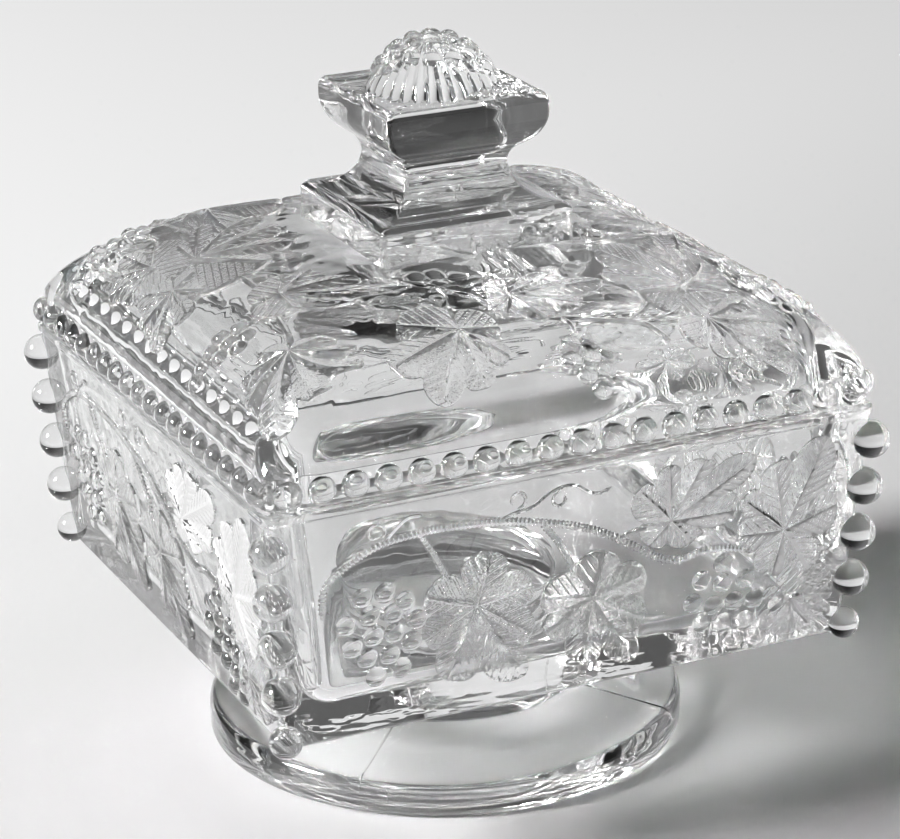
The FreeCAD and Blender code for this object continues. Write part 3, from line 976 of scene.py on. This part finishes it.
    def build(self, skins: Sequence[bpy.types.Material]) -> bpy.types.Object:
        """The dish as one piece of glass.

        Args:
            skins: Materials in the order of the skins.

        Returns:
            The finished piece.
        """
        front = [self.corner_beads(), self.mould_seam(), *self.vine.solids(self.panel())]
        parts = [self.foot()]
        for side in ALL_SIDES:
            parts += [turned(solid, side) for solid in front]
        return press_together("dish_of_pressed_glass", self.walls(), parts, skins)


@dataclass(frozen=True)
class Cover:
    """Loose domed cover with a beaded skirt, a locating lip and a square knob."""

    half: float = 55.2
    seat: float = 68.3
    skirt_height: float = 5.5
    dome_height: float = 19.7
    side_power: float = 3.0
    rise_power: float = 1.6
    corner: float = 3.7
    top_corner: float = 14.7
    top_thickness: float = 6.2
    hollow_side_power: float = 5.0
    hollow_rise_power: float = 2.6
    hollow_top_corner: float = 8.0
    dome_flat: float = 20.0
    air_film: float = 0.06
    lip_half: float = 50.8
    lip_drop: float = 2.5
    lip_thickness: float = 2.4
    lip_corner: float = 6.2
    beads_per_side: int = 19
    bead_diameter: float = 4.9
    bead_rise: float = 2.95
    bead_sink: float = 0.3
    knob_base_width: float = 36.0
    knob_base_height: float = 6.0
    knob_base_step: float = 1.1
    knob_hollow_height: float = 5.7
    knob_neck_width: float = 19.4
    knob_neck_height: float = 2.3
    knob_flare_height: float = 6.4
    knob_neck_straight: float = 0.5
    knob_turn: Pair = (11.6, 9.6)
    knob_widest: float = 15.6
    knob_cap_height: float = 4.4
    knob_cap_width: float = 30.4
    knob_cap_inset: float = 0.7
    knob_cap_edge: float = 1.8
    knob_cap_rim_width: float = 0.9
    knob_cap_rim: float = 0.35
    knob_base_corner: float = 1.0
    knob_neck_corner: float = 0.7
    knob_cap_corner: float = 1.0
    crown_diameter: float = 21.5
    crown_height: float = 7.6
    berry_diameter: float = 4.0
    berry_proud: float = 2.199
    berry_pitch: float = 3.5
    berry_spans: tuple[Pair, ...] = ((-170.0, 130.0), (-175.0, 155.0), (-40.0, 160.0))
    edge_softness: float = 0.6
    crown_leaf: VineLeaf = CROWN_LEAF
    cap_leaf: VineLeaf = CAP_LEAF
    front_vine: VineRelief = FRONT_COVER_VINE
    left_vine: VineRelief = LEFT_COVER_VINE

    KNOB_HOLLOW_SHARES = (0.3, 0.62)
    KNOB_BELLY_SHARES = (0.72, 0.43)
    KNOB_EDGE_SHARES = (0.2 / 0.7, 1.1 / 1.8)
    LEVEL_RADIUS = 400.0

    @property
    def dome_start(self) -> float:
        """Height where the skirt turns into the dome."""
        return self.seat + self.skirt_height

    @property
    def dome_top(self) -> float:
        """Height of the dome under the knob."""
        return self.dome_start + self.dome_height

    def dome(self) -> PillowDome:
        """Outside of the dome."""
        return PillowDome(
            self.half, self.dome_start, self.dome_height, self.corner, self.top_corner,
            self.side_power, self.rise_power, self.dome_flat,
        )

    def hollow(self) -> PillowDome:
        """Inside of the dome."""
        return PillowDome(
            self.lip_half - self.lip_thickness, self.dome_start, self.dome_height - self.top_thickness,
            self.lip_corner - self.lip_thickness, self.hollow_top_corner,
            self.hollow_side_power, self.hollow_rise_power, self.dome_flat,
        )

    def shell(self) -> Solid:
        """Dome, skirt and lip in one closed moulding, from the inside top round to the outside top."""
        inside = self.hollow().sections(24)[::-1]
        lip_bottom = self.seat - self.lip_drop
        rest = self.seat + self.air_film
        inner_half = self.lip_half - self.lip_thickness
        inner_corner = self.lip_corner - self.lip_thickness
        edges = [
            inside[-1],
            SquareSection(inner_half, inner_corner, lip_bottom),
            SquareSection(self.lip_half, self.lip_corner, lip_bottom),
            SquareSection(self.lip_half, self.lip_corner, rest),
            SquareSection(self.half, self.corner, rest),
            SquareSection(self.half, self.corner, self.dome_start),
        ]
        outside = self.dome().sections(34)
        return moulding(inside[:-1] + soften(edges, self.edge_softness)[:-1] + outside)

    def bead_row(self) -> Solid:
        """Row of beads along the skirt's front."""
        half = self.half - self.bead_sink
        first = half - self.bead_diameter / math.sqrt(2.0)
        row = bmesh.new()
        for place in range(self.beads_per_side):
            along = first * (2.0 * place / (self.beads_per_side - 1) - 1.0)
            bmesh.ops.create_uvsphere(
                row, u_segments=24, v_segments=14, radius=self.bead_diameter / 2.0,
                matrix=Matrix.Translation((along, -half, self.seat + self.bead_rise)),
            )
        return row

    def cap_top(self) -> float:
        """Height of the knob's flat top."""
        knob = self.knob_base_height + self.knob_hollow_height + self.knob_neck_height
        return self.dome_top + knob + self.knob_flare_height + self.knob_cap_height

    @staticmethod
    def part_way(start: Vector, end: Vector, shares: Pair) -> Vector:
        """Point between two points of the XZ plane, at its own share of the way in x and in z."""
        across, upward = shares
        return Vector((start.x + across * (end.x - start.x), 0.0, start.z + upward * (end.z - start.z)))

    def knob(self) -> Solid:
        """Square knob: a bevelled base, a hollowed neck and a plump flared cap with a low rim."""
        base = self.knob_base_width / 2.0
        step = base - self.knob_base_step
        neck = self.knob_neck_width / 2.0
        cap = self.knob_cap_width / 2.0
        base_top = self.dome_top + self.knob_base_height
        neck_bottom = base_top + self.knob_hollow_height
        cap_top = self.cap_top()
        diagonal = 1.0 - math.sqrt(0.5)
        hollow_start = Vector((step, 0.0, base_top))
        hollow_end = Vector((neck, 0.0, neck_bottom))
        hollow_middle = Vector((
            neck + (step - neck) * diagonal, 0.0, base_top + self.knob_hollow_height * diagonal,
        ))
        hollow = arc(hollow_start, hollow_middle, hollow_end, 8)
        lower = [
            SquareSection(base, self.knob_base_corner, self.dome_top - self.top_thickness / 2.0),
            SquareSection(base, self.knob_base_corner, base_top - self.knob_base_step),
            SquareSection(step, self.knob_base_corner, base_top),
            SquareSection(hollow[1].x, self.knob_neck_corner, hollow[1].z),
        ]
        middle = [SquareSection(point.x, self.knob_neck_corner, point.z) for point in hollow[2:]]
        start = Vector((neck, 0.0, neck_bottom + self.knob_neck_straight))
        turn = Vector((self.knob_turn[0], 0.0, base_top + self.knob_turn[1]))
        widest = Vector((cap, 0.0, base_top + self.knob_widest))
        edge_start = Vector((cap, 0.0, cap_top - self.knob_cap_edge))
        edge_end = Vector((cap - self.knob_cap_inset, 0.0, cap_top))
        in_hollow = self.part_way(start, turn, self.KNOB_HOLLOW_SHARES)
        in_belly = self.part_way(turn, widest, self.KNOB_BELLY_SHARES)
        in_edge = self.part_way(edge_start, edge_end, self.KNOB_EDGE_SHARES)
        swell = arc(start, in_hollow, turn, 7) + arc(turn, in_belly, widest, 9)[1:]
        swell += arc(edge_start, in_edge, edge_end, 5)
        upper = [SquareSection(point.x, self.knob_cap_corner, point.z) for point in swell]
        rim = cap - self.knob_cap_inset - self.knob_cap_rim_width
        top = [
            SquareSection(rim, self.knob_cap_corner, cap_top),
            SquareSection(rim - self.knob_cap_rim, self.knob_cap_corner, cap_top - self.knob_cap_rim),
            SquareSection(rim * 0.6, self.knob_cap_corner, cap_top - self.knob_cap_rim),
        ]
        return moulding(soften(lower, 0.5) + middle + upper + top)

    def crown_ball(self) -> RoundCrown:
        """Sphere that the crown is a cap of."""
        reach = self.crown_diameter / 2.0
        radius = (reach ** 2 + self.crown_height ** 2) / (2.0 * self.crown_height)
        return RoundCrown(Vector((0.0, 0.0, self.cap_top() + self.crown_height - radius)), radius)

    def berries(self) -> list[Solid]:
        """Heap of berries on the top and the back of the crown."""
        crown = self.crown_ball()
        lift = self.berry_proud - self.berry_diameter / 2.0
        made = [ball(crown.at(0.0, 0.0, lift), self.berry_diameter / 2.0)]
        for ring, span in enumerate(self.berry_spans, 1):
            first, last = (math.radians(turn) for turn in span)
            reach = ring * self.berry_pitch
            count = round((last - first) * crown.radius * math.sin(reach / crown.radius) / self.berry_pitch)
            for place in range(count + 1):
                turn = first + (last - first) * place / count
                spot = crown.at(reach * math.cos(turn), reach * math.sin(turn), lift - 0.25 * ring)
                made.append(ball(spot, self.berry_diameter / 2.0, around=18))
        return made

    def crown(self) -> list[Solid]:
        """Low crown on the knob, with a pleated leaf toward the front and a heap of berries behind it."""
        crown = self.crown_ball()
        sunk = self.cap_top() - 1.0
        edge = self.crown_diameter / 2.0
        lean = math.asin(edge / crown.radius)
        steps = 10
        outline = [Vector((0.0, 0.0, sunk)), Vector((edge, 0.0, sunk))]
        for step in range(steps + 1):
            angle = lean * (1.0 - step / steps)
            outline.append(crown.centre + Vector((math.sin(angle), 0.0, math.cos(angle))) * crown.radius)
        level_height = self.cap_top() - self.knob_cap_rim
        level = RoundCrown(Vector((0.0, 0.0, level_height - self.LEVEL_RADIUS)), self.LEVEL_RADIUS)
        leaves = [self.crown_leaf.solid(crown), self.cap_leaf.solid(level)]
        return [spin_round(outline, 64), *leaves, *self.berries()]

    def build(self, skins: Sequence[bpy.types.Material]) -> bpy.types.Object:
        """The cover as one piece of glass.

        Args:
            skins: Materials in the order of the skins.

        Returns:
            The finished piece.
        """
        dome = self.dome()
        beads = self.bead_row()
        parts = [self.knob(), *self.crown()]
        parts += [turned(beads, side) for side in ALL_SIDES]
        for relief, sides in (
            (self.front_vine, (Side.FRONT, Side.BACK)),
            (self.left_vine, (Side.LEFT, Side.RIGHT)),
        ):
            solids = relief.solids(dome)
            for side in sides:
                parts += [turned(solid, side) for solid in solids]
        return press_together("cover_of_pressed_glass", self.shell(), parts, skins)


def mould_surface() -> bpy.types.NodeTree:
    """Node group of the skin that the mould leaves on glass: chill waves, stipple and fine leaf ribs.

    Returns:
        The group. Its inputs are the heights of the three in metres, and its output is the normal.
    """
    group = bpy.data.node_groups.new("mould_surface", "ShaderNodeTree")
    for name in ("Waves", "Stipple", "Ribs"):
        group.interface.new_socket(name, in_out="INPUT", socket_type="NodeSocketFloat")
    group.interface.new_socket("Normal", in_out="OUTPUT", socket_type="NodeSocketVector")
    nodes, links = group.nodes, group.links
    given = nodes.new("NodeGroupInput")
    place = nodes.new("ShaderNodeTexCoord")
    lines = nodes.new("ShaderNodeUVMap")
    lines.uv_map = MOULD_LINES

    def maths(operation: str, *terms: bpy.types.NodeSocket | float) -> bpy.types.NodeSocket:
        """Result of one sum on sockets or plain values."""
        node = nodes.new("ShaderNodeMath")
        node.operation = operation
        for socket, term in zip(node.inputs, terms):
            if isinstance(term, bpy.types.NodeSocket):
                links.new(term, socket)
            else:
                socket.default_value = term
        return node.outputs["Value"]

    waves = nodes.new("ShaderNodeTexNoise")
    waves.inputs["Scale"].default_value = WAVES_PER_METRE
    waves.inputs["Detail"].default_value = 2.0
    links.new(place.outputs["Object"], waves.inputs["Vector"])
    dots = nodes.new("ShaderNodeTexVoronoi")
    dots.inputs["Scale"].default_value = DOTS_PER_METRE
    links.new(place.outputs["Object"], dots.inputs["Vector"])
    line_place = nodes.new("ShaderNodeSeparateXYZ")
    links.new(lines.outputs["UV"], line_place.inputs["Vector"])
    ridge = maths("COSINE", maths("MULTIPLY", line_place.outputs["X"], 2.0 * math.pi))
    ridge = maths("MULTIPLY", maths("MAXIMUM", ridge, 0.0), line_place.outputs["Y"])
    height = maths("MULTIPLY", waves.outputs["Fac"], given.outputs["Waves"])
    height = maths("MULTIPLY_ADD", dots.outputs["Distance"], given.outputs["Stipple"], height)
    height = maths("MULTIPLY_ADD", ridge, given.outputs["Ribs"], height)
    bump = nodes.new("ShaderNodeBump")
    bump.inputs["Strength"].default_value = 1.0
    bump.inputs["Distance"].default_value = 1.0
    links.new(height, bump.inputs["Height"])
    result = nodes.new("NodeGroupOutput")
    links.new(bump.outputs["Normal"], result.inputs["Normal"])
    return group


@dataclass(frozen=True)
class PressedGlass:
    """Clear pressed glass, fire-polished or stippled by the mould; its surface heights are in millimetres."""

    tint: tuple[float, float, float, float] = (0.97, 0.975, 0.975, 1.0)
    index: float = 1.52
    roughness: float = 0.01
    waves: float = 0.1
    stipple: float = 0.0
    ribs: float = 0.07

    def material(self, name: str, surface: bpy.types.NodeTree) -> bpy.types.Material:
        """Build the node material.

        Args:
            name: Name of the material.
            surface: Node group of the skin that the mould leaves.

        Returns:
            The material.
        """
        material = bpy.data.materials.new(name)
        material.use_nodes = True
        nodes, links = material.node_tree.nodes, material.node_tree.links
        shader = nodes["Principled BSDF"]
        shader.inputs["Base Color"].default_value = self.tint
        shader.inputs["IOR"].default_value = self.index
        shader.inputs["Transmission Weight"].default_value = 1.0
        shader.inputs["Roughness"].default_value = self.roughness
        skin = nodes.new("ShaderNodeGroup")
        skin.node_tree = surface
        for socket, height in (("Waves", self.waves), ("Stipple", self.stipple), ("Ribs", self.ribs)):
            skin.inputs[socket].default_value = height * METRES_PER_MM
        links.new(skin.outputs["Normal"], shader.inputs["Normal"])
        return material


FIRE_POLISHED = PressedGlass()
STIPPLED = PressedGlass(roughness=0.1, stipple=0.04)


def tone_along(
    tree: bpy.types.NodeTree, coordinates: str, way: tuple[float, float, float], span: Pair, tones: Pair,
) -> bpy.types.NodeSocket:
    """Grey that fades smoothly from one tone to another along a direction.

    Args:
        tree: Node tree that the nodes go into.
        coordinates: Output of the texture coordinate node to read.
        way: Direction of the fade.
        span: Where the fade begins and ends along it.
        tones: First and last tone.

    Returns:
        The socket that carries the grey.
    """
    nodes, links = tree.nodes, tree.links
    along = nodes.new("ShaderNodeVectorMath")
    along.operation = "DOT_PRODUCT"
    along.inputs[1].default_value = Vector(way).normalized()
    links.new(nodes.new("ShaderNodeTexCoord").outputs[coordinates], along.inputs[0])
    fade = nodes.new("ShaderNodeMapRange")
    fade.interpolation_type = "SMOOTHSTEP"
    fade.inputs["From Min"].default_value, fade.inputs["From Max"].default_value = span
    fade.inputs["To Min"].default_value, fade.inputs["To Max"].default_value = tones
    links.new(along.outputs["Value"], fade.inputs["Value"])
    return fade.outputs["Result"]


@dataclass(frozen=True)
class Studio:
    """Pale floor with painted shade, soft light and the camera; the span of the floor's painted shade is in
    metres.
    """

    camera_place: tuple[float, float, float] = (-234.0, -512.0, 265.0)
    camera_target: tuple[float, float, float] = (1.72, -0.8, 57.04)
    camera_roll: float = -1.123
    lens: float = 135.28
    sensor: float = 36.0
    floor_size: float = 6000.0
    floor_drop: float = 0.2
    # Painted shade on the floor: the direction, span and greys of the fade in its colour, which stands in for
    # the lamp's falloff.
    floor_painted_light_way: tuple[float, float, float] = (-0.35, 0.94, 0.0)
    floor_painted_shade_span: Pair = (-0.16, 0.28)
    floor_painted_shade_tones: Pair = (0.58, 0.95)
    room_brightens: tuple[float, float, float] = (-0.75, 0.45, 0.48)
    room_span: Pair = (-0.1, 0.6)
    room_tones: Pair = (0.0, 0.14)
    lamp_place: tuple[float, float, float] = (-2559.0, 450.0, 1500.0)
    lamp_target: tuple[float, float, float] = (0.0, 0.0, 60.0)
    lamp_width: float = 840.0
    lamp_power: float = 155.0

    def camera(self) -> None:
        """Camera at the viewing angle of the picture."""
        data = bpy.data.cameras.new("camera")
        data.sensor_fit = "HORIZONTAL"
        data.sensor_width = self.sensor
        data.lens = self.lens
        data.clip_end = 20.0
        camera = bpy.data.objects.new("camera", data)
        place = Vector(self.camera_place) * METRES_PER_MM
        ahead = Vector(self.camera_target) * METRES_PER_MM - place
        turn = ahead.to_track_quat("-Z", "Y").to_matrix()
        roll = Matrix.Rotation(math.radians(self.camera_roll), 3, "Z")
        camera.matrix_world = Matrix.LocRotScale(place, turn @ roll, None)
        bpy.context.scene.collection.objects.link(camera)
        bpy.context.scene.camera = camera

    def floor(self) -> None:
        """Pale floor whose colour carries painted shade: lighter toward the left and the back, darker grey
        toward the right and the front, like the lamp's falloff.
        """
        grid = bmesh.new()
        half = self.floor_size / 2.0 * METRES_PER_MM
        bmesh.ops.create_grid(grid, x_segments=2, y_segments=2, size=half)
        bmesh.ops.translate(grid, vec=(0.0, 0.0, -self.floor_drop * METRES_PER_MM), verts=grid.verts)
        mesh = bpy.data.meshes.new("floor")
        grid.to_mesh(mesh)
        grid.free()
        paper = bpy.data.materials.new("floor_paper_painted_shade")
        paper.use_nodes = True
        shader = paper.node_tree.nodes["Principled BSDF"]
        # Painted shade: the floor's base colour fades from pale at the left and back to grey at the right and
        # front, where the lamp's light falls off.
        tone = tone_along(paper.node_tree, "Object", self.floor_painted_light_way, self.floor_painted_shade_span, self.floor_painted_shade_tones)
        paper.node_tree.links.new(tone, shader.inputs["Base Color"])
        shader.inputs["Roughness"].default_value = 0.9
        mesh.materials.append(paper)
        floor = bpy.data.objects.new("floor", mesh)
        bpy.context.scene.collection.objects.link(floor)

    def softbox(self) -> None:
        """Soft square lamp on the left that faces the dish."""
        data = bpy.data.lights.new("left_softbox", "AREA")
        data.shape = "SQUARE"
        data.size = self.lamp_width * METRES_PER_MM
        data.energy = self.lamp_power
        lamp = bpy.data.objects.new("left_softbox", data)
        lamp.location = Vector(self.lamp_place) * METRES_PER_MM
        aim = Vector(self.lamp_target) * METRES_PER_MM - lamp.location
        lamp.rotation_euler = aim.to_track_quat("-Z", "Y").to_euler()
        bpy.context.scene.collection.objects.link(lamp)

    def world(self) -> None:
        """Soft room light, bright on the left and behind, dim on the right and behind the camera."""
        world = bpy.data.worlds.new("studio")
        world.use_nodes = True
        bpy.context.scene.world = world
        tree = world.node_tree
        tone = tone_along(tree, "Generated", self.room_brightens, self.room_span, self.room_tones)
        tree.links.new(tone, tree.nodes["Background"].inputs["Color"])

    def build(self) -> None:
        """Set the whole stage, with enough bounces for glass and all the light it throws on the floor."""
        self.camera()
        self.floor()
        self.softbox()
        self.world()
        bpy.context.scene.view_settings.view_transform = "Standard"
        cycles = bpy.context.scene.cycles
        cycles.max_bounces = 32
        cycles.transmission_bounces = 32
        cycles.glossy_bounces = 20
        cycles.blur_glossy = 0.0
        cycles.sample_clamp_indirect = 0.0


def main() -> None:
    """Build the two pieces of glass and the stage."""
    logging.basicConfig(level=logging.INFO, format="%(message)s")
    surface = mould_surface()
    skins = {
        slot: [
            FIRE_POLISHED.material(f"{slot}_fire_polished", surface),
            STIPPLED.material(f"{slot}_stippled", surface),
        ]
        for slot in ("dish_glass", "cover_glass")
    }
    for maker, slot, node, body in (
        (FootedDish(), "dish_glass", "footed_dish", "dish"),
        (Cover(), "cover_glass", "cover", "cover"),
    ):
        piece = maker.build(skins[slot])
        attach(piece, body)
        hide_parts(node)
        piece.data.calc_loop_triangles()
        LOG.info("%s: %d triangles", piece.name, len(piece.data.loop_triangles))
    Studio().build()


if __name__ == "__main__":
    main()
